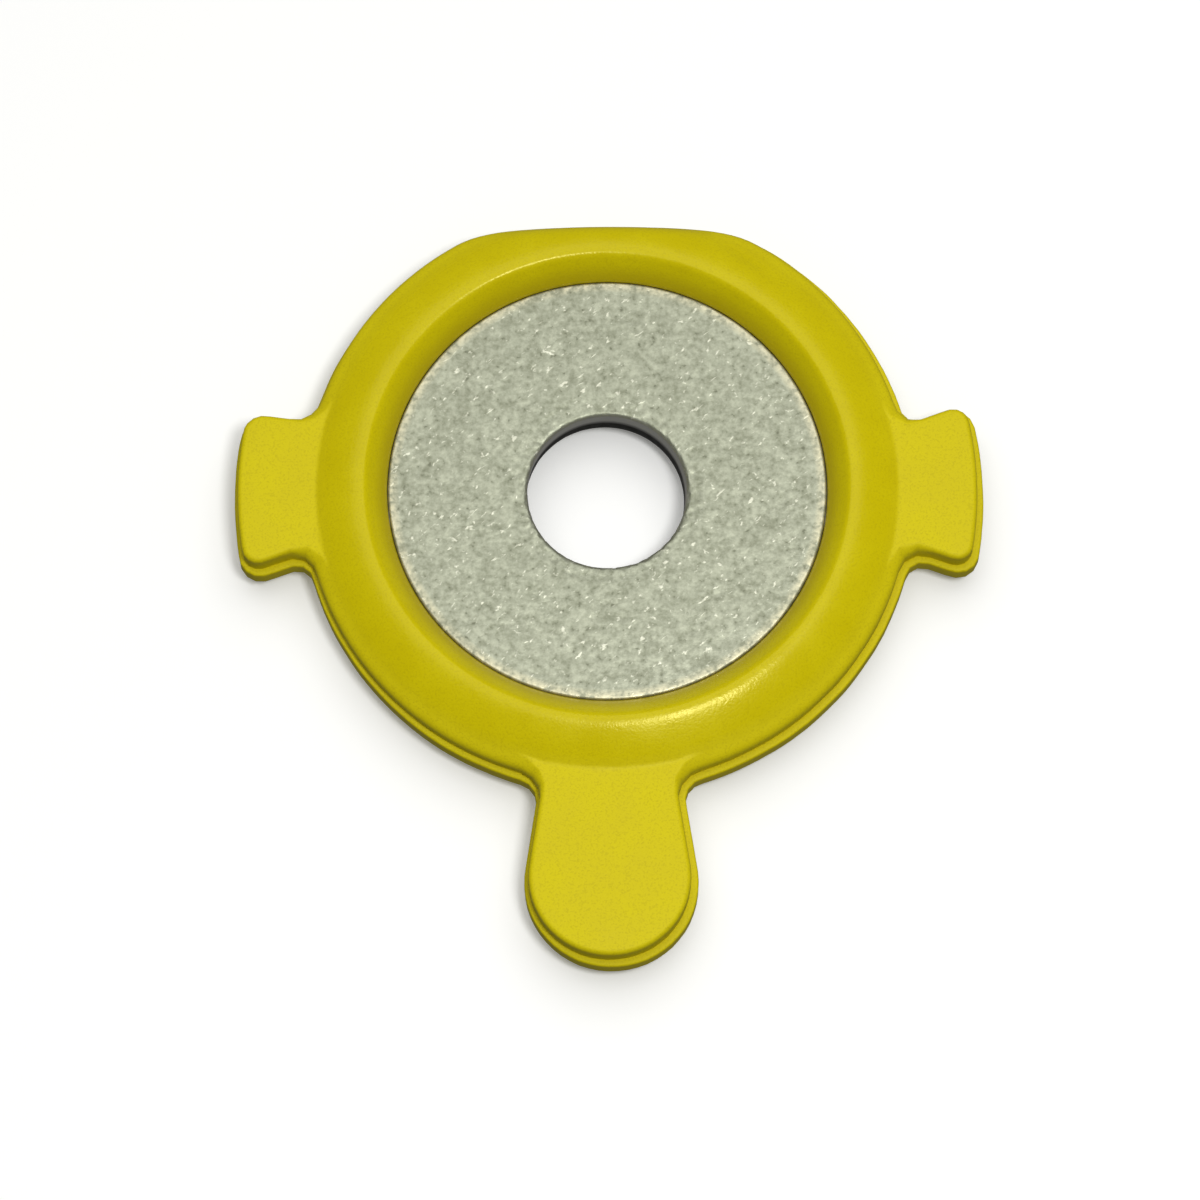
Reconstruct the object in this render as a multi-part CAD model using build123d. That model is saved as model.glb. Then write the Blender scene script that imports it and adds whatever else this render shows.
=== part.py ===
"""Tabbed sealing washer: a flat steel washer held in the groove of a moulded rubber seal.

Millimetres. The origin is on the bolt hole's axis, half way through the thickness. +Z is the hole's
axis, the long pull tab points along -Y, the locating flat faces +Y and the two ears lie along X.
"""
from build123d import *
import os
from math import asin, atan2, cos, degrees, hypot, radians, sin, sqrt, tan

# Steel washer
washer_diameter = 22.6
washer_thickness = 2.0
hole_diameter = 8.4
rim_rounding = 0.5           # outer edges, worn round
hole_rounding = 0.2          # both edges of the hole

# Groove that holds the washer
seat_clearance = 0.05        # all round the washer's rim
lip_radius = 11.2            # the lips reach in over the washer's rounded edges

# Round bead of the seal, the same above and below the middle plane
crest_radius = 12.75
crest_height = 2.25
crest_rounding = 1.0
shoulder_height = 0.95       # where the bead's inner flank starts to lean outwards
flank_slope = 27.0           # degrees, outer flank
wall_radius = 15.5           # upright outer edge, from the middle plane up to the flank

# Base flange, the lower half of the outline, which stands out all round
flange_width = 0.43
flange_root_rounding = 0.9   # inside corners where tab and ears leave the ring

# Plates of the tab and the ears
plate_thickness = 2.5
plate_edge_rounding = 0.2
plate_root_radius = 14.9     # circle under the bead's flank that the plates blend into
plate_root_rounding = 1.3

# Locating flat
flat_distance = 14.2

# Long pull tab, sizes without the flange
tab_end_radius = 4.07
tab_end_distance = 20.5      # from the hole's axis to the middle of the round end
tab_flare = 9.0              # degrees, each side

# Ears, sizes without the flange
ear_end_radius = 18.97       # concentric with the hole
ear_waist_width = 6.6
ear_waist_distance = 16.1
ear_flare = 20.0             # degrees, each side
ear_corner_rounding = 1.0

washer_radius = washer_diameter / 2
hole_radius = hole_diameter / 2
plate_inner_radius = crest_radius + 0.4      # plates and flange start inside the bead


def make_washer():
    """Flat ring with rounded edges."""
    ring = Cylinder(washer_radius, washer_thickness) - Cylinder(hole_radius, washer_thickness)
    edges = ring.edges().filter_by(GeomType.CIRCLE)
    rim = [edge for edge in edges if edge.radius > hole_radius + 1]
    ring = fillet(rim, rim_rounding)
    edges = ring.edges().filter_by(GeomType.CIRCLE)
    hole = [edge for edge in edges if edge.radius < hole_radius + 0.01]
    return fillet(hole, hole_rounding)


def bead_half_profile():
    """Edges of the upper half of the ring's section, from the groove over the crest to the foot.

    The groove follows the washer's rounded edge at an even clearance, up to the lip. Two straight
    flanks run tangent into the round crest, and the outer one ends at the upright outer edge.
    """
    arc_centre_r = washer_radius - rim_rounding
    arc_centre_z = washer_thickness / 2 - rim_rounding
    arc_radius = rim_rounding + seat_clearance
    lip_angle = degrees(atan2(sqrt(arc_radius**2 - (lip_radius - arc_centre_r) ** 2),
                              lip_radius - arc_centre_r))
    groove = Line((arc_centre_r + arc_radius, 0), (arc_centre_r + arc_radius, arc_centre_z))
    seat = CenterArc((arc_centre_r, arc_centre_z), arc_radius, 0, lip_angle)
    lip = Line(seat @ 1, (lip_radius, shoulder_height))
    crest_centre_z = crest_height - crest_rounding
    run = crest_radius - lip_radius
    rise = crest_centre_z - shoulder_height
    inner_slope = degrees(asin(crest_rounding / hypot(run, rise)) + atan2(rise, run))
    crest = CenterArc((crest_radius, crest_centre_z), crest_rounding, 90 + inner_slope,
                      -inner_slope - flank_slope)
    inner_flank = Line(lip @ 1, crest @ 0)
    edge_height = (crest @ 1).Y - (wall_radius - (crest @ 1).X) * tan(radians(flank_slope))
    outer_flank = Line(crest @ 1, (wall_radius, edge_height))
    wall = Line(outer_flank @ 1, (wall_radius, 0))
    return [groove, seat, lip, inner_flank, crest, outer_flank, wall]


def ring_body():
    """The beaded ring, turned about the hole's axis."""
    upper = bead_half_profile()
    lower = [edge.mirror(Plane.XZ) for edge in upper]
    section = Face(Wire(upper + lower))
    return revolve(Plane.XZ * section, Axis.Z)


def ear_outline():
    """The ear on +X, from inside the ring to its end, which is concentric with the ring."""
    slope = tan(radians(ear_flare))
    start, stop = plate_inner_radius, ear_end_radius + 1
    low = ear_waist_width / 2 - (ear_waist_distance - start) * slope
    high = ear_waist_width / 2 + (stop - ear_waist_distance) * slope
    wedge = make_face(Polyline((start, low), (stop, high), (stop, -high), (start, -low), close=True))
    ear = wedge & Circle(ear_end_radius)
    corners = [v for v in ear.vertices() if hypot(v.X, v.Y) > ear_end_radius - 0.01]
    return fillet(corners, ear_corner_rounding)


def tab_outline():
    """The pull tab on -Y: straight flaring sides that run tangent into a full round end."""
    lean = radians(tab_flare)
    touch_x = tab_end_radius * cos(lean)
    touch_y = tab_end_radius * sin(lean) - tab_end_distance
    root_y = -plate_inner_radius
    root_x = touch_x - (root_y - touch_y) * tan(lean)
    sides = Polyline((-root_x, root_y), (root_x, root_y), (touch_x, touch_y), (-touch_x, touch_y),
                     close=True)
    return make_face(sides) + Pos(0, -tab_end_distance) * Circle(tab_end_radius)


def outline(ring_radius, root_rounding):
    """Plan of a round ring with the tab and both ears, with rounded inside corners."""
    ear = ear_outline()
    plan = Circle(ring_radius) + ear + ear.mirror(Plane.YZ) + tab_outline()
    roots = [v for v in plan.vertices() if abs(hypot(v.X, v.Y) - ring_radius) < 0.01 and v.Y < 10]
    return fillet(roots, root_rounding)


def make_plates():
    """The upper halves of the tab's and the ears' flat plates, with a rounded top edge."""
    plan = outline(plate_root_radius, plate_root_rounding)
    plates = extrude(plan, plate_thickness / 2)
    return fillet(plates.faces().sort_by(Axis.Z)[-1].edges(), plate_edge_rounding)


def make_flange():
    """The base flange, from the middle plane down, with a rounded bottom edge."""
    plan = outline(wall_radius, flange_root_rounding + flange_width)
    flange = extrude(offset(plan, flange_width), -plate_thickness / 2)
    return fillet(flange.faces().sort_by(Axis.Z)[0].edges(), plate_edge_rounding)


def make_seal():
    """Ring, plates and flange in one piece, cut off at the locating flat."""
    core = Cylinder(plate_inner_radius, 2 * crest_height)
    seal = ring_body() + (make_plates() - core) + (make_flange() - core)
    size = 4 * wall_radius
    beyond_flat = Pos(0, flat_distance + size / 2, 0) * Box(size, size, size)
    return seal - beyond_flat


os.makedirs("parts", exist_ok=True)
export_step(make_seal(), "parts/seal_body.step")
export_step(make_washer(), "parts/steel_washer.step")
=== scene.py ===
from math import cos, pi, radians, sin, tan

import bpy
import numpy as np
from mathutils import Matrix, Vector, noise


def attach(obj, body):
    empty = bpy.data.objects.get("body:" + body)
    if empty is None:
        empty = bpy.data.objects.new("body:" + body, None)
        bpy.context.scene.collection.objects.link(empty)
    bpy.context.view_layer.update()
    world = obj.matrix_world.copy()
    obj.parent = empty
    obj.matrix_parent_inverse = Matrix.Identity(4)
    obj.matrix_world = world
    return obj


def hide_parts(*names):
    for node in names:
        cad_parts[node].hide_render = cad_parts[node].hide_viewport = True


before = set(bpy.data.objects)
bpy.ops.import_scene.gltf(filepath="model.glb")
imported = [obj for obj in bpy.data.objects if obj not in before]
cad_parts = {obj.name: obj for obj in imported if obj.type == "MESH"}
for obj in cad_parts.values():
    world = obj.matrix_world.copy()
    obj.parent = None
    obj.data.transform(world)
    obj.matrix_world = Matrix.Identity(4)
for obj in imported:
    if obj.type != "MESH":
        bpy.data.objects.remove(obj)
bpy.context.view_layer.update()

mm = 0.001
scene = bpy.context.scene


def deselect():
    if bpy.context.object and bpy.context.object.mode != "OBJECT":
        bpy.ops.object.mode_set(mode="OBJECT")
    bpy.ops.object.select_all(action="DESELECT")


def swell(x, y, z, size, seed):
    # soft 3-D noise, -1 to 1, with bumps about 'size' apart; each seed looks at another place in it
    points = zip(x / size + seed * 7.3, y / size - seed * 3.1, z / size + seed)
    return np.array([noise.noise(Vector(p)) for p in points])


def movePoints(piece, co):
    piece.data.vertices.foreach_set("co", (co * mm).ravel())
    piece.data.update()


def setGrid(piece, rows, ring):
    # a torus primitive has one vertex for each station and row; send each to its place, so the
    # primitive's own radius only has to tell rows and stations apart
    stations, count = len(rows[0][0]), len(rows)
    co = np.empty(len(piece.data.vertices) * 3)
    piece.data.vertices.foreach_get("co", co)
    co = co.reshape(-1, 3)
    r = np.hypot(co[:, 0], co[:, 1])
    station = np.rint(np.arctan2(co[:, 1], co[:, 0]) / (2 * pi) * stations).astype(int) % stations
    row = np.rint(np.arctan2(co[:, 2], r - ring) / (2 * pi) * count).astype(int) % count
    grid = np.array([np.stack(line, 1) for line in rows])
    co = grid[row, station]
    movePoints(piece, co)
    return co


def torus(name, rows, ring):
    deselect()
    bpy.ops.mesh.primitive_torus_add(major_segments=len(rows[0][0]), minor_segments=len(rows),
                                     major_radius=ring, minor_radius=ring / 4)
    piece = bpy.context.object
    piece.name = piece.data.name = name
    co = setGrid(piece, rows, ring)
    bpy.ops.object.mode_set(mode="EDIT")
    bpy.ops.mesh.select_all(action="SELECT")
    bpy.ops.mesh.normals_make_consistent(inside=False)
    bpy.ops.object.mode_set(mode="OBJECT")
    return piece, co


def smooth(piece, angle):
    deselect()
    piece.select_set(True)
    bpy.context.view_layer.objects.active = piece
    bpy.ops.object.shade_smooth_by_angle(angle=radians(angle))


# All sizes are in millimetres and angles in degrees until a point is written to a mesh.
seal = {
    "stations": 760,                          # points along the outline
    "rays": 24001, "wellInside": 10.0, "wellOutside": 27.0,   # the search for the outline
    # bead
    "crestRadius": 12.6, "crestHeight": 2.245, "crestRound": 0.3,
    "flankStart": 0.3, "flankBow": 0.068,     # slope just past the crest, and how fast it steepens
    "lipRadius": 11.3, "shoulder": 0.95,      # inner edge of the bead, at the washer
    "innerSlope": 50.0, "innerBulge": 0.06, "shoulderRound": 0.14,
    "wallRadius": 15.53, "wallRound": 0.3,    # upright outer edge, and the corner above it
    # plates of the tab and the ears
    "plateTop": 1.25, "edgeRound": 0.28, "plateRoot": 1.3,
    "tabEnd": 4.11, "tabAt": 20.5, "tabFlare": 9.0,
    "earEnd": 18.99, "earWaist": 6.66, "earWaistAt": 16.1, "earFlare": 20.0, "earCorner": 1.0,
    "earFlareUpperLeft": 8.0, "earRaisedLeft": 0.5, "earRaisedRight": 0.3,
    "flat": 14.2, "flatBlend": 0.8,
    # flange below the parting line
    "flange": 0.3, "flangeRoot": 0.95, "flangeEdge": 0.12,
    "partingShift": (0.09, -0.06),            # the lower half of the mould closed a little off
    # fold between plate and bead
    "beadEnd": 14.72,                         # where the plate rows hand over to the bead rows
    "crease": 0.09, "creaseFrom": 0.3, "creaseTo": 2.3,       # softness, full on a plate this long
    "plateFrom": 0.4, "plateFull": 0.9,       # a plate shorter than this only follows the bead
    "scallop": 0.05, "scallopAt": 15.05, "scallopWidth": 0.15,
    # rows across the section
    "plateRows": 17, "underRows": 13,
    "rowGrading": 1.1, "nearestRow": 0.25,    # rows stand closer together near the fold
    "rowReach": 0.85,                         # how far in from the rim a plate row may be held
    "evening": (21, 15, 11), "leastStep": 0.12,               # smoothing of the crease's stations
    "crestFrom": 13.3, "crestTo": 11.9,
    "tucked": -6.0, "tuckedRoot": 0.01,       # takes tab and ears out of the bead's outline
    "topBead": (14, 25, 7), "lowBead": (7, 13, 4),            # points on flank, crest, inner side
    "wallLevels": (0.0, 0.03, 0.2, 0.45, 0.65, 0.8, 0.92, 1.0, 1.07, 1.13, 1.18, 1.22, 1.243, 1.25),
    "footLevels": (1.25, 1.235, 1.2, 1.13, 1.05, 0.97, 0.7, 0.4),
    "groove": ((11.3, 0.9), (11.31, 0.82), (11.34, 0.7), (11.35, 0.5),
               (11.35, 0.0), (11.35, -0.5), (11.34, -0.72), (11.3, -0.9)),
    # unevenness of the moulding
    "sway": 0.016, "swaySizes": (3.2, 1.3),
    "swayFade": 0.8, "swayLower": 0.6,        # none at the lip, and lowered to stay in the true box
    "rag": 0.03, "ragSizes": (2.2, 0.7), "ragInset": 0.02,    # on the flange's edge
    "ragFrom": 14.9, "ragOffFlat": 0.1,
    "foldAt": (7.2, 12.4), "foldWay": (0.6, 0.8),             # behind the right end of the flat
    "foldWidth": 0.35, "foldLength": 2.2, "foldDepth": 0.05,
    "smoothTo": 50,
}


# roundMin and roundMax join two distances by a true arc, softMin and softMax by a gentler curve.
def roundMin(a, b, r):
    return np.maximum(r, np.minimum(a, b)) - np.hypot(np.maximum(r - a, 0), np.maximum(r - b, 0))


def roundMax(a, b, r):
    return -roundMin(-a, -b, r)


def softMax(a, b, soft):
    return np.maximum(a, b) + np.maximum(soft - np.abs(a - b), 0) ** 2 / (4 * soft)


def softMin(a, b, soft):
    return -softMax(-a, -b, soft)


def tabDistance(x, y):
    # straight flaring sides that run into a round end
    lean = radians(seal["tabFlare"])
    x, ahead = np.abs(x), -y - seal["tabAt"]
    side = x * cos(lean) - ahead * sin(lean) - seal["tabEnd"]
    end = np.hypot(x, ahead) - seal["tabEnd"]
    return np.where(x * sin(lean) + ahead * cos(lean) > 0, end, side)


def earDistance(x, y):
    # the ears reach a little further up than down, and the left one's upper side flares less
    upper, left = y > 0, x < 0
    lean = np.radians(np.where(upper & left, seal["earFlareUpperLeft"], seal["earFlare"]))
    raised = np.where(left, seal["earRaisedLeft"], seal["earRaisedRight"])
    waist = seal["earWaist"] / 2 + np.where(upper, raised, 0)
    half = waist + (np.abs(x) - seal["earWaistAt"]) * np.tan(lean)
    side = (np.abs(y) - half) * np.cos(lean)
    return roundMax(side, np.hypot(x, y) - seal["earEnd"], seal["earCorner"])


def plan(x, y, ring, grow, root, shift=(0, 0)):
    # distance outside the outline whose ring has this radius and whose tab and ears are grown
    sx, sy = x - shift[0], y - shift[1]
    arms = np.minimum(tabDistance(sx, sy), earDistance(sx, sy)) - grow
    body = roundMin(np.hypot(sx, sy) - ring, arms, root)
    return softMax(body, y - seal["flat"], seal["flatBlend"])


def ontoPlan(x, y, *shape):
    # walk each point straight to the outline, which eight steps bring it to
    step = 1e-4
    for walk in range(8):
        here = plan(x, y, *shape)
        gx = (plan(x + step, y, *shape) - here) / step
        gy = (plan(x, y + step, *shape) - here) / step
        size = np.maximum(gx * gx + gy * gy, 0.25)
        x, y = x - here * gx / size, y - here * gy / size
    return x, y


# The bead's section has a narrow crest, an outer flank that steepens, and a steep inner flank.
def crestDrop(away):
    s, soft = seal, seal["crestRound"]
    return s["flankStart"] * (np.sqrt(away ** 2 + soft ** 2) - soft) + s["flankBow"] * away ** 2


def beadHeight(r):
    s = seal
    away = r - s["crestRadius"]
    crest = s["crestHeight"] - crestDrop(away)
    t = np.maximum(r - s["lipRadius"], 0)
    inner = s["shoulder"] + t * tan(radians(s["innerSlope"])) + 4 * s["innerBulge"] * t * (1 - t)
    return np.where(away > 0, crest, softMin(crest, inner, s["shoulderRound"]))


def beadRadius(z):
    # the outer flank and the upright edge below it, with the corner between them rounded
    away = np.linspace(0, 5, 2001)
    flank = seal["crestRadius"] + np.interp(seal["crestHeight"] - z, crestDrop(away), away)
    return softMin(flank, seal["wallRadius"], seal["wallRound"])


def rimBack(z):
    # how far a plate's rounded rim has drawn in at this height
    e = seal["edgeRound"]
    over = max(z - (seal["plateTop"] - e), 0)
    return e - np.sqrt(max(e * e - over * over, 0))


def plateShape(z):
    back = rimBack(z)
    return beadRadius(z), -back, seal["plateRoot"] + back


def flangeShape(by=0):
    # the flange's outline, drawn in by this much
    grow = seal["flange"] - by
    return seal["wallRadius"] + grow, grow, seal["flangeRoot"] + by, seal["partingShift"]


def evenOutline():
    # rays from the hole's axis find the flange's edge, then the points are spaced evenly along it
    s = seal
    angle = np.linspace(-pi, pi, s["rays"]) - pi / 2
    near, far = np.full(angle.shape, s["wellInside"]), np.full(angle.shape, s["wellOutside"])
    for halving in range(40):
        half = (near + far) / 2
        outside = plan(half * np.cos(angle), half * np.sin(angle), *flangeShape()) > 0
        near, far = np.where(outside, near, half), np.where(outside, half, far)
    x, y = near * np.cos(angle), near * np.sin(angle)
    run = np.concatenate([[0], np.cumsum(np.hypot(np.diff(x), np.diff(y)))])
    at = np.linspace(0, run[-1], s["stations"], endpoint=False)
    return ontoPlan(np.interp(at, run, x), np.interp(at, run, y), *flangeShape())


def creaseAngles(x, y):
    # the direction in which each station meets the bead, always moving on round the ring
    angle = np.unwrap(np.arctan2(y, x))
    count = len(angle)
    turn = 2 * pi * np.sign(angle[-1] - angle[0])
    for size in seal["evening"]:
        wide = np.concatenate([angle[-size:] - turn, angle, angle[:size] + turn])
        angle = np.convolve(wide, np.ones(size) / size, "same")[size:size + count]
    step = np.diff(angle, append=angle[0] + turn) * np.sign(turn)
    step = np.maximum(step, seal["leastStep"] * 2 * pi / count)
    run = np.concatenate([[0], np.cumsum(step)[:-1]])
    return angle[0] + turn * run / np.sum(step)


def onBead(r, beta):
    # a row of the bead: a circle, cut off softly by the flat, with tab and ears tucked in under it
    x, y = r * np.cos(beta), r * np.sin(beta)
    if r > seal["flat"] - seal["flatBlend"]:
        x, y = ontoPlan(x, y, r, seal["tucked"], seal["tuckedRoot"])
    return x, y


def acrossPlate(x, y, rows, side, *shape):
    # rows from a plate's rim in to the bead; side is 1 on top and -1 underneath
    s = seal
    ring, grow, root, *shift = shape
    beta = creaseAngles(x, y)
    bx, by = onBead(s["beadEnd"], beta)
    length = np.hypot(x - bx, y - by)
    grade = np.maximum(s["rowGrading"] * np.log(length / s["nearestRow"]), 0.01)
    plate = np.clip((length - s["plateFrom"]) / (s["plateFull"] - s["plateFrom"]), 0, 1)
    edge = beadRadius(s["plateTop"])
    made = []
    for row in range(1, rows + 1):
        t = (np.exp(grade * (1 - row / rows)) - 1) / (np.exp(grade) - 1)
        px, py = bx + (x - bx) * t, by + (y - by) * t
        # a straight line may leave the plate beside a waist, so each row has its own inner outline
        deep = s["rowReach"] * row / rows
        inner = (ring, grow - deep, root + deep, *shift)
        outside = plan(px, py, *inner) > 0
        inX, inY = ontoPlan(px, py, *inner)
        px, py = np.where(outside, inX, px), np.where(outside, inY, py)
        # the bead's foot wanders a little where it meets the upper plates
        r, theta = np.hypot(px, py), np.arctan2(py, px)
        footX, footY = np.cos(theta) * 15, np.sin(theta) * 15
        wander = swell(footX, footY, 0 * r, 0.9, 3) + swell(footX, footY, 0 * r, 2.6, 5)
        near = s["scallop"] * np.exp(-((r - s["scallopAt"]) / s["scallopWidth"]) ** 2) * (side > 0)
        bead = beadHeight(r - near * wander)
        long = np.clip((length - s["creaseFrom"]) / (s["creaseTo"] - s["creaseFrom"]), 0.02, 1)
        z = softMax(bead, s["plateTop"] + 0 * bead, s["crease"] * long)
        level = beadHeight(edge + (s["beadEnd"] - edge) * row / rows + 0 * bead)
        made.append((px, py, side * (level + (z - level) * plate)))
    return beta, made


def beadRadii(flank, crest, inner):
    # from the fold in over the crest to the lip, leaving out the first, which is the last plate row
    s = seal
    ends = (s["beadEnd"], s["crestFrom"], s["crestTo"], s["lipRadius"])
    parts = zip(ends, ends[1:], (flank, crest, inner))
    return np.concatenate([np.linspace(start, end, count)[1:] for start, end, count in parts])


def sealRows():
    # every row is one closed line round the seal; together they run once round its section
    s = seal
    edgeX, edgeY = evenOutline()
    full = np.ones(s["stations"])
    rows = []
    # flange: its top edge, then in to the foot of the upper wall
    f = s["flangeEdge"]
    for a in (0, 22, 45, 67, 90):
        x, y = ontoPlan(edgeX, edgeY, *flangeShape(f - f * cos(radians(a))))
        rows.append((x, y, (f * sin(radians(a)) - f) * full))
    x, y = ontoPlan(edgeX, edgeY, *flangeShape(s["flange"]))
    rows.append((x, y, 0 * full))
    # upper wall, the plates' rounded rim, and in over the plates
    x, y = edgeX, edgeY
    for z in s["wallLevels"]:
        x, y = ontoPlan(x, y, *plateShape(z))
        rows.append((x, y, z * full))
    beta, plates = acrossPlate(x, y, s["plateRows"], 1, *plateShape(s["plateTop"]))
    rows += plates
    # over the bead and down to the lip
    for r in beadRadii(*s["topBead"]):
        x, y = onBead(r, beta)
        rows.append((x, y, beadHeight(r * full)))
    # groove round the washer
    for r, z in s["groove"]:
        rows.append((r * np.cos(beta), r * np.sin(beta), z * full))
    # lower bead, back out to its fold and over the underside
    x, y = ontoPlan(edgeX, edgeY, *flangeShape(s["edgeRound"]))
    beta, plates = acrossPlate(x, y, s["underRows"], -1, *flangeShape(s["edgeRound"]))
    for r in beadRadii(*s["lowBead"])[::-1]:
        x, y = onBead(r, beta)
        rows.append((x, y, -beadHeight(r * full)))
    rows += plates[::-1]
    # flange: bottom face's rounded rim and the wall up to the start
    for z in s["footLevels"]:
        x, y = ontoPlan(edgeX, edgeY, *flangeShape(rimBack(z)))
        rows.append((x, y, -z * full))
    return rows


def makeSeal():
    s = seal
    piece, co = torus("moulded_seal", sealRows(), 10.0)
    x, y, z = co.T
    r = np.hypot(x, y)
    # slow unevenness of the faces, none at the groove
    free = np.clip((r - s["lipRadius"]) / s["swayFade"], 0, 1)
    wide, narrow = (swell(x, y, z * 0.5, size, seed) for size, seed in zip(s["swaySizes"], (1, 2)))
    up = np.clip(np.abs(z), 0, 1) * np.sign(z)
    co[:, 2] += s["sway"] * (wide + 0.5 * narrow - s["swayLower"]) * free * up
    # the flange's edge is a little ragged, except along the flat
    edge = np.clip((0.3 - z) / 0.3, 0, 1) * np.clip((z + 1.3) / 0.3, 0, 1)
    edge *= (r > s["ragFrom"]) & (y < s["flat"] - s["ragOffFlat"])
    wide, narrow = (swell(x, y, 0 * z, size, seed) for size, seed in zip(s["ragSizes"], (8, 9)))
    rag = (s["rag"] * (wide + 0.5 * narrow) - s["ragInset"]) * edge
    co[:, 0] += x / r * rag
    co[:, 1] += y / r * rag
    # a soft fold behind the right end of the flat
    foldX, foldY = x - s["foldAt"][0], y - s["foldAt"][1]
    wayX, wayY = s["foldWay"]
    across, along = foldX * wayX + foldY * wayY, foldX * wayY - foldY * wayX
    fold = np.exp(-(across / s["foldWidth"]) ** 2 - (along / s["foldLength"]) ** 2)
    co[:, 2] -= s["foldDepth"] * fold * (z > 0.8)
    movePoints(piece, co)
    smooth(piece, s["smoothTo"])
    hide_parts("seal_body")
    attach(piece, "seal")
    return piece


washer = {
    "stations": 640, "topRows": 62, "bottomRows": 30,
    "radius": 11.285, "half": 1.0, "rim": 0.16,
    "rowGap": 0.08,                           # from the hole's rounded edges to the faces' rows
    "hole": 4.08, "holeRound": 0.16, "holeRoll": 0.25,        # the punch rolled the upper edge over
    "holeLevels": (-0.5, -0.2, 0.1, 0.35),
    "topShift": (0.0, -0.12), "bottomShift": (-0.13, -0.15),  # the hole is punched a little off
    "shiftFrom": 6.5, "shiftFull": 4.5,       # the faces' rows spread to take up that shift
    "faceFrom": 0.3, "faceFade": 0.4,         # heights over which the faces' marks come in
    "dents": 0.012, "dentSize": 1.1,
    "nicks": 0.02, "nickSize": 0.42, "nickCut": 0.15,
    "pits": 0.09, "pitSize": 0.6, "pitCut": 0.42,
    "torn": 0.06, "tornSizes": (0.35, 0.16),  # ragged edge of the hole
    "tornFrom": 4.0, "tornFade": 0.2, "tornTo": 5.0,
    "worn": 0.012, "wornSize": 0.5,           # rubbed off the rim
    "wornFrom": 11.0, "wornFade": 0.3,
    "smoothTo": 50,
}


def arc(r, z, size, angles):
    # points of a rounded edge, by their angle about its centre
    return [(r + size * cos(radians(a)), z + size * sin(radians(a))) for a in angles]


def washerSection():
    # top face, rim, bottom face and hole
    w = washer
    rim, half = w["radius"] - w["rim"], w["half"]
    roll, foot = w["hole"] + w["holeRoll"], w["hole"] + w["holeRound"]
    section = [(r, half) for r in np.linspace(roll + w["rowGap"], rim, w["topRows"])]
    section += arc(rim, half - w["rim"], w["rim"], (75, 60, 45, 30, 15, 0))
    section += arc(rim, w["rim"] - half, w["rim"], (0, -30, -60))
    section += [(r, -half) for r in np.linspace(rim, foot + w["rowGap"], w["bottomRows"])]
    section += arc(foot, w["holeRound"] - half, w["holeRound"], (270, 240, 210, 180))
    section += [(w["hole"], z) for z in w["holeLevels"]]
    section += arc(roll, half - w["holeRoll"], w["holeRoll"],
                   (180, 168, 156, 144, 132, 120, 105, 90))
    return section


def washerRows():
    w = washer
    angle = np.linspace(0, 2 * pi, w["stations"], endpoint=False)
    top, bottom = np.array(w["topShift"]), np.array(w["bottomShift"])
    rows = []
    for r, z in washerSection():
        near = np.clip((w["shiftFrom"] - r) / (w["shiftFrom"] - w["shiftFull"]), 0, 1)
        mix = (z / w["half"] + 1) / 2
        dx, dy = (bottom * (1 - mix) + top * mix) * near
        rows.append((r * np.cos(angle) + dx, r * np.sin(angle) + dy, z + 0 * angle))
    return rows


def makeWasher():
    w = washer
    piece, co = torus("tumbled_washer", washerRows(), 8.0)
    x, y, z = co.T
    r = np.hypot(x, y)
    # dents, nicks and pits of tumbling, all below the true face
    dents = w["dents"] * (0.5 + 0.5 * swell(x, y, z, w["dentSize"], 4))
    nicks = w["nicks"] * np.clip(swell(x, y, z, w["nickSize"], 6) - w["nickCut"], 0, 1)
    pits = w["pits"] * np.clip(swell(x, y, z, w["pitSize"], 11) - w["pitCut"], 0, 1)
    face = np.clip((np.abs(z) - w["faceFrom"]) / w["faceFade"], 0, 1) * np.sign(z)
    co[:, 2] -= (dents + nicks + pits) * face
    # the hole's edge is torn outwards and down, and the rim is rubbed in
    wide, narrow = (swell(x, y, z, size, seed) for size, seed in zip(w["tornSizes"], (17, 19)))
    hole = np.clip((r - w["tornFrom"]) / w["tornFade"], 0, 1) * (r < w["tornTo"])
    torn = w["torn"] * (wide + 0.5 * narrow) * hole
    rim = np.clip((r - w["wornFrom"]) / w["wornFade"], 0, 1)
    worn = w["worn"] * (1 + swell(x, y, z, w["wornSize"], 13)) * rim
    out = np.maximum(torn, 0) - worn
    co[:, 2] -= np.abs(torn) * (z > 0)
    co[:, 0] += x / r * out
    co[:, 1] += y / r * out
    movePoints(piece, co)
    smooth(piece, w["smoothTo"])
    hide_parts("steel_washer")
    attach(piece, "washer")
    return piece


def linear(hexColour):
    channels = [int(hexColour[i:i + 2], 16) / 255 for i in (1, 3, 5)]
    return [c / 12.92 if c <= 0.04045 else ((c + 0.055) / 1.055) ** 2.4 for c in channels] + [1.0]


def add(material, kind, inputs=None, out=0, stops=(), **settings):
    # one node with its settings and colour stops: an input that is a socket is linked, any other is
    # set, and the output socket comes back (a Mix node's colours are 6 and 7, and its result is 2)
    tree = material.node_tree
    made = tree.nodes.new(kind)
    for key, value in settings.items():
        setattr(made, key, value)
    for key, value in (inputs or {}).items():
        if isinstance(value, bpy.types.NodeSocket):
            tree.links.new(value, made.inputs[key])
        else:
            made.inputs[key].default_value = linear(value) if isinstance(value, str) else value
    for spare in stops[2:]:
        made.color_ramp.elements.new(0.5)
    for index, (at, colour) in enumerate(stops):
        element = made.color_ramp.elements[index]
        element.position = at
        element.color = linear(colour) if isinstance(colour, str) else (colour, colour, colour, 1)
    return made.outputs[out] if made.outputs else made


def blank(name):
    material = bpy.data.materials.new(name)
    material.use_nodes = True
    material.node_tree.nodes.clear()
    return material


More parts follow.
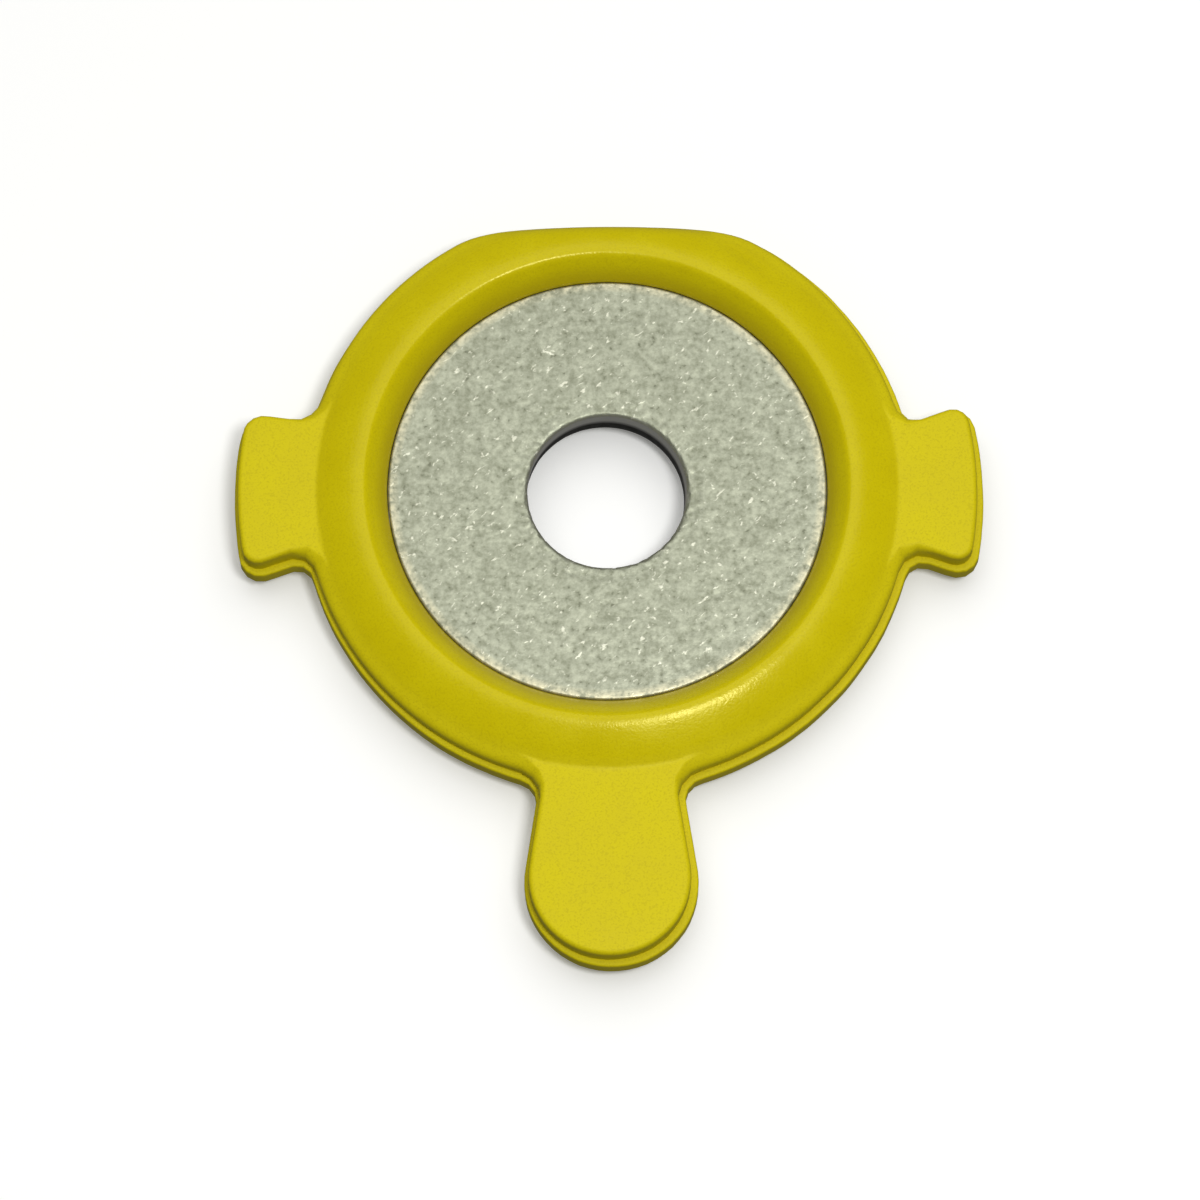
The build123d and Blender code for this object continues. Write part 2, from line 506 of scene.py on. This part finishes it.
def fromAxis(material, place):
    # millimetres out from the hole's axis
    flatWays = add(material, "ShaderNodeVectorMath", {0: place, 1: (1 / mm, 1 / mm, 0)},
                   operation="MULTIPLY")
    return add(material, "ShaderNodeVectorMath", {0: flatWays}, out="Value", operation="LENGTH")


rubberLook = {
    "plate": "#DACB04", "plateDeep": "#D6C603", "bead": "#D4C502", "beadDeep": "#D0C002",
    # corner is the colour of the painted shade beside the washer
    "corner": "#B09E0C", "grainDark": "#C2B204",
    # millimetres between bumps, detail and roughness of each pattern
    "mottle": (2.4, 3.0, 0.55), "peel": (0.22, 2.0, 0.5), "grain": (0.11, 1.0, 0.5),
    "blastedFrom": 14.8, "blastedFull": 15.05,
    # where the painted shade beside the washer starts, where it has faded out, and how strong it is
    "paintedShadeFrom": 11.3, "paintedShadeTo": 12.1, "paintedShade": 0.75,
    "satinFrom": 14.4, "satinFull": 15.1,
    "beadRough": 0.24, "plateRough": 0.55, "specular": 0.45, "sheenColour": "#FFF6A0",
    "peelDepth": 0.04, "grainDepth": 0.02, "bump": 0.2,
}


def mouldedRubber():
    # silicone rubber moulded in a plain cavity: satin, even, with a faint orange peel; the grain is
    # drawn coarser than the real one, which is too fine to show
    look = rubberLook
    m = blank("silicone_rubber_moulded_yellow")
    place = add(m, "ShaderNodeTexCoord", out="Object")
    mottle, peel, grain = (
        add(m, "ShaderNodeTexNoise", {"Vector": place, "Scale": 1 / mm / apart, "Detail": detail,
                                      "Roughness": rough})
        for apart, detail, rough in (look["mottle"], look["peel"], look["grain"]))
    # the bead is the smoother, deeper part: the plates and the flange came from a blasted cavity
    out = fromAxis(m, place)
    blasted = add(m, "ShaderNodeMapRange", {"Value": out, "From Min": look["blastedFrom"],
                                            "From Max": look["blastedFull"]})
    bead, plate = (
        add(m, "ShaderNodeValToRGB", {"Fac": mottle},
            stops=((0.35, look[part + "Deep"]), (0.65, look[part])))
        for part in ("bead", "plate"))
    colour = add(m, "ShaderNodeMix", {0: blasted, 6: bead, 7: plate}, out=2, data_type="RGBA")
    specks = add(m, "ShaderNodeValToRGB", {"Fac": grain}, stops=((0.3, 0.55), (0.5, 0.0)))
    colour = add(m, "ShaderNodeMix", {0: specks, 6: colour, 7: look["grainDark"]}, out=2,
                 data_type="RGBA")
    # painted shade: the corner beside the washer is darkened, most at the lip and fading out over
    # the inner flank
    corner = add(m, "ShaderNodeMapRange", {"Value": out, "From Min": look["paintedShadeFrom"],
                                           "From Max": look["paintedShadeTo"], "To Min": look["paintedShade"],
                                           "To Max": 0.0}, interpolation_type="SMOOTHSTEP")
    colour = add(m, "ShaderNodeMix", {0: corner, 6: colour, 7: look["corner"]}, out=2,
                 data_type="RGBA")
    rough = add(m, "ShaderNodeMapRange", {"Value": out, "From Min": look["satinFrom"],
                                          "From Max": look["satinFull"],
                                          "To Min": look["beadRough"],
                                          "To Max": look["plateRough"]})
    uneven = add(m, "ShaderNodeMapRange", {"Value": mottle, "From Min": 0.3, "From Max": 0.7,
                                           "To Min": -0.05, "To Max": 0.06})
    roughness = add(m, "ShaderNodeMath", {0: rough, 1: uneven}, operation="ADD")
    bump = add(m, "ShaderNodeBump", {"Height": peel, "Strength": look["bump"],
                                     "Distance": look["peelDepth"] * mm})
    bump = add(m, "ShaderNodeBump", {"Height": grain, "Strength": look["bump"],
                                     "Distance": look["grainDepth"] * mm, "Normal": bump})
    shader = add(m, "ShaderNodeBsdfPrincipled", {"Base Color": colour, "Roughness": roughness,
                                                 "Specular IOR Level": look["specular"],
                                                 "Specular Tint": look["sheenColour"],
                                                 "Normal": bump})
    add(m, "ShaderNodeOutputMaterial", {"Surface": shader})
    return m


steelLook = {
    "light": "#ABAE99", "mid": "#9FA28E", "dark": "#929580", "streak": "#E4E4D0", "pit": "#5C5E4B",
    # the bore's two colours are painted light for its upper part and painted shade for its foot
    "borePaintedLight": "#E0DFD8", "borePaintedShade": "#24221F", "rim": "#D6CFAE",
    # millimetres between bumps, detail and roughness of each pattern
    "cloud": (0.8, 4.0, 0.68), "speckle": (0.32, 2.0, 0.6),
    # turn, width and length of each family of rubbed marks, and where its noise is cut
    "marks": ((45, 0.34, 0.55, 0.64), (38, 0.24, 1.2, 0.70), (-25, 0.4, 0.5, 0.68)),
    "markStrength": 0.75, "pitStrength": 0.45,
    "boreFrom": 4.4, "boreFull": 4.2, "bore": 0.95,
    "boreHigh": 0.95, "boreDeep": 0.75,       # heights between which the bore's colour comes in
    "footHigh": 0.25, "footDeep": -0.2,
    # the rim's colour above is a painted highlight; this is where it comes in
    "rimHighlightFrom": 10.7, "rimHighlightFull": 11.1,
    "metallic": 0.9, "rough": 0.6, "rubbed": 0.42,
    "faceDepth": 0.07, "faceBump": 0.5, "markDepth": 0.03, "markBump": 0.25,
}


def tumbledZinc():
    # steel blank, tumbled and zinc plated: grey, faintly yellow, mottled, pitted and scratched
    look = steelLook
    m = blank("steel_zinc_plated_tumbled")
    place = add(m, "ShaderNodeTexCoord", out="Object")
    cloud, speckle = (
        add(m, "ShaderNodeTexNoise", {"Vector": place, "Scale": 1 / mm / apart, "Detail": detail,
                                      "Roughness": rough})
        for apart, detail, rough in (look["cloud"], look["speckle"]))
    both = add(m, "ShaderNodeMath", {0: cloud, 1: speckle}, operation="ADD")
    half = add(m, "ShaderNodeMath", {0: both, 1: 0.5}, operation="MULTIPLY")
    colour = add(m, "ShaderNodeValToRGB", {"Fac": half},
                 stops=((0.38, look["dark"]), (0.5, look["mid"]), (0.62, look["light"])))
    # short rubbed marks, most of them along one diagonal
    streaks = 0.0
    for turn, across, along, cut in look["marks"]:
        spun = add(m, "ShaderNodeMapping", {"Vector": place, "Rotation": (0, 0, radians(turn)),
                                            "Scale": (along * mm, across * mm, across * mm)},
                   vector_type="TEXTURE")
        streak = add(m, "ShaderNodeTexNoise", {"Vector": spun, "Scale": 1.0, "Detail": 2.0,
                                               "Roughness": 0.6})
        mark = add(m, "ShaderNodeValToRGB", {"Fac": streak}, stops=((cut, 0.0), (cut + 0.08, 1.0)))
        streaks = add(m, "ShaderNodeMath", {0: mark, 1: streaks}, operation="MAXIMUM")
    bright = add(m, "ShaderNodeMath", {0: streaks, 1: look["markStrength"]}, operation="MULTIPLY")
    colour = add(m, "ShaderNodeMix", {0: bright, 6: colour, 7: look["streak"]}, out=2,
                 data_type="RGBA")
    pits = add(m, "ShaderNodeValToRGB", {"Fac": speckle}, stops=((0.26, 1.0), (0.34, 0.0)))
    dull = add(m, "ShaderNodeMath", {0: pits, 1: look["pitStrength"]}, operation="MULTIPLY")
    colour = add(m, "ShaderNodeMix", {0: dull, 6: colour, 7: look["pit"]}, out=2, data_type="RGBA")
    # the punched bore: its upper part is painted light and its foot painted dark, as painted shade
    out = fromAxis(m, place)
    inHole = add(m, "ShaderNodeMapRange", {"Value": out, "From Min": look["boreFull"],
                                           "From Max": look["boreFrom"], "To Min": look["bore"],
                                           "To Max": 0.0})
    height = add(m, "ShaderNodeSeparateXYZ", {"Vector": place}, out="Z")
    below = add(m, "ShaderNodeMapRange", {"Value": height, "From Min": look["boreDeep"] * mm,
                                          "From Max": look["boreHigh"] * mm,
                                          "To Min": 1.0, "To Max": 0.0})
    low = add(m, "ShaderNodeMapRange", {"Value": height, "From Min": look["footDeep"] * mm,
                                        "From Max": look["footHigh"] * mm,
                                        "To Min": 1.0, "To Max": 0.0})
    inHole = add(m, "ShaderNodeMath", {0: inHole, 1: below}, operation="MULTIPLY")
    bore = add(m, "ShaderNodeMix", {0: low, 6: look["borePaintedLight"], 7: look["borePaintedShade"]}, out=2,
               data_type="RGBA")
    colour = add(m, "ShaderNodeMix", {0: inHole, 6: colour, 7: bore}, out=2, data_type="RGBA")
    # the rim is painted lighter in patches, a painted highlight
    edge = add(m, "ShaderNodeMapRange", {"Value": out, "From Min": look["rimHighlightFrom"],
                                         "From Max": look["rimHighlightFull"]})
    patch = add(m, "ShaderNodeMapRange", {"Value": half, "From Min": 0.42, "From Max": 0.56,
                                          "To Min": 0.15, "To Max": 0.75})
    rim = add(m, "ShaderNodeMath", {0: edge, 1: patch}, operation="MULTIPLY")
    colour = add(m, "ShaderNodeMix", {0: rim, 6: colour, 7: look["rim"]}, out=2, data_type="RGBA")
    roughness = add(m, "ShaderNodeMapRange", {"Value": half, "From Min": 0.35, "From Max": 0.65,
                                              "To Min": look["rough"], "To Max": look["rubbed"]})
    bump = add(m, "ShaderNodeBump", {"Height": half, "Strength": look["faceBump"],
                                     "Distance": look["faceDepth"] * mm})
    bump = add(m, "ShaderNodeBump", {"Height": streaks, "Strength": look["markBump"],
                                     "Distance": look["markDepth"] * mm, "Normal": bump})
    shader = add(m, "ShaderNodeBsdfPrincipled", {"Base Color": colour, "Metallic": look["metallic"],
                                                 "Roughness": roughness, "Normal": bump})
    add(m, "ShaderNodeOutputMaterial", {"Surface": shader})
    return m


def dress(piece, material):
    piece.data.materials.clear()
    piece.data.materials.append(material)


sealPiece = makeSeal()
dress(sealPiece, mouldedRubber())
print("seal: done,", len(sealPiece.data.polygons), "faces")
washerPiece = makeWasher()
dress(washerPiece, tumbledZinc())
print("washer: done,", len(washerPiece.data.polygons), "faces")

studio = {
    "floor": -2.29, "floorSize": 4000.0,
    "floorColour": "#F8F8F6", "floorGlow": 0.17, "floorRough": 0.9,
    # tilt leans a lamp towards +Y and turn towards +X
    "keyTilt": -13.5, "keyTurn": 11.0, "keyDistance": 300.0, "keySize": 62.0, "keyPower": 0.34,
    "fillTilt": 20.0, "fillTurn": 0.0, "fillDistance": 1300.0,
    "fillSize": 1900.0, "fillPower": 11.6,
    "world": 0.15,
}


def mattPaper():
    # uncoated paper: near white and without a sheen, with a faint glow that keeps it pale
    s = studio
    m = blank("paper_backdrop_matt")
    shader = add(m, "ShaderNodeBsdfPrincipled", {"Base Color": s["floorColour"],
                                                 "Roughness": s["floorRough"],
                                                 "Emission Color": s["floorColour"],
                                                 "Emission Strength": s["floorGlow"]})
    add(m, "ShaderNodeOutputMaterial", {"Surface": shader})
    return m


def makeStudio():
    s = studio
    deselect()
    bpy.ops.mesh.primitive_plane_add(size=s["floorSize"] * mm, location=(0, 0, s["floor"] * mm))
    floor = bpy.context.object
    floor.name = "studio_floor"
    dress(floor, mattPaper())
    floor.visible_diffuse = False
    floor.visible_glossy = False
    for lamp in ("key", "fill"):
        tilt, turn = radians(s[lamp + "Tilt"]), radians(s[lamp + "Turn"])
        spot = Vector((tan(turn), tan(tilt), 1)).normalized() * s[lamp + "Distance"] * mm
        deselect()
        bpy.ops.object.light_add(type="AREA", location=spot,
                                 rotation=spot.to_track_quat("Z", "Y").to_euler())
        soft = bpy.context.object
        soft.name = lamp + "_softbox"
        soft.data.shape = "DISK"
        soft.data.size = s[lamp + "Size"] * mm
        soft.data.energy = s[lamp + "Power"]
    world = bpy.data.worlds.new("studio")
    world.use_nodes = True
    sky = world.node_tree.nodes["Background"].inputs
    sky["Strength"].default_value = s["world"]
    sky["Color"].default_value = (1, 1, 1, 1)
    scene.world = world


view = {
    "elevation": 73.0, "azimuth": -0.33, "distance": 300.0, "aim": (-0.407, -5.672, 0.0),
    "lens": 175.8, "sensor": 36.0, "clipStart": 10.0,
}


def makeCamera():
    v = view
    el, az = radians(v["elevation"]), radians(v["azimuth"])
    back = Vector((sin(az) * cos(el), -cos(az) * cos(el), sin(el)))
    bpy.ops.object.camera_add(location=(Vector(v["aim"]) + back * v["distance"]) * mm,
                              rotation=(pi / 2 - el, 0, az))
    camera = bpy.context.object
    camera.name = "camera"
    camera.data.lens = v["lens"]
    camera.data.sensor_width = v["sensor"]
    camera.data.clip_start = v["clipStart"] * mm
    scene.camera = camera
    scene.view_settings.view_transform = "Standard"


makeStudio()
makeCamera()
print("studio: done")
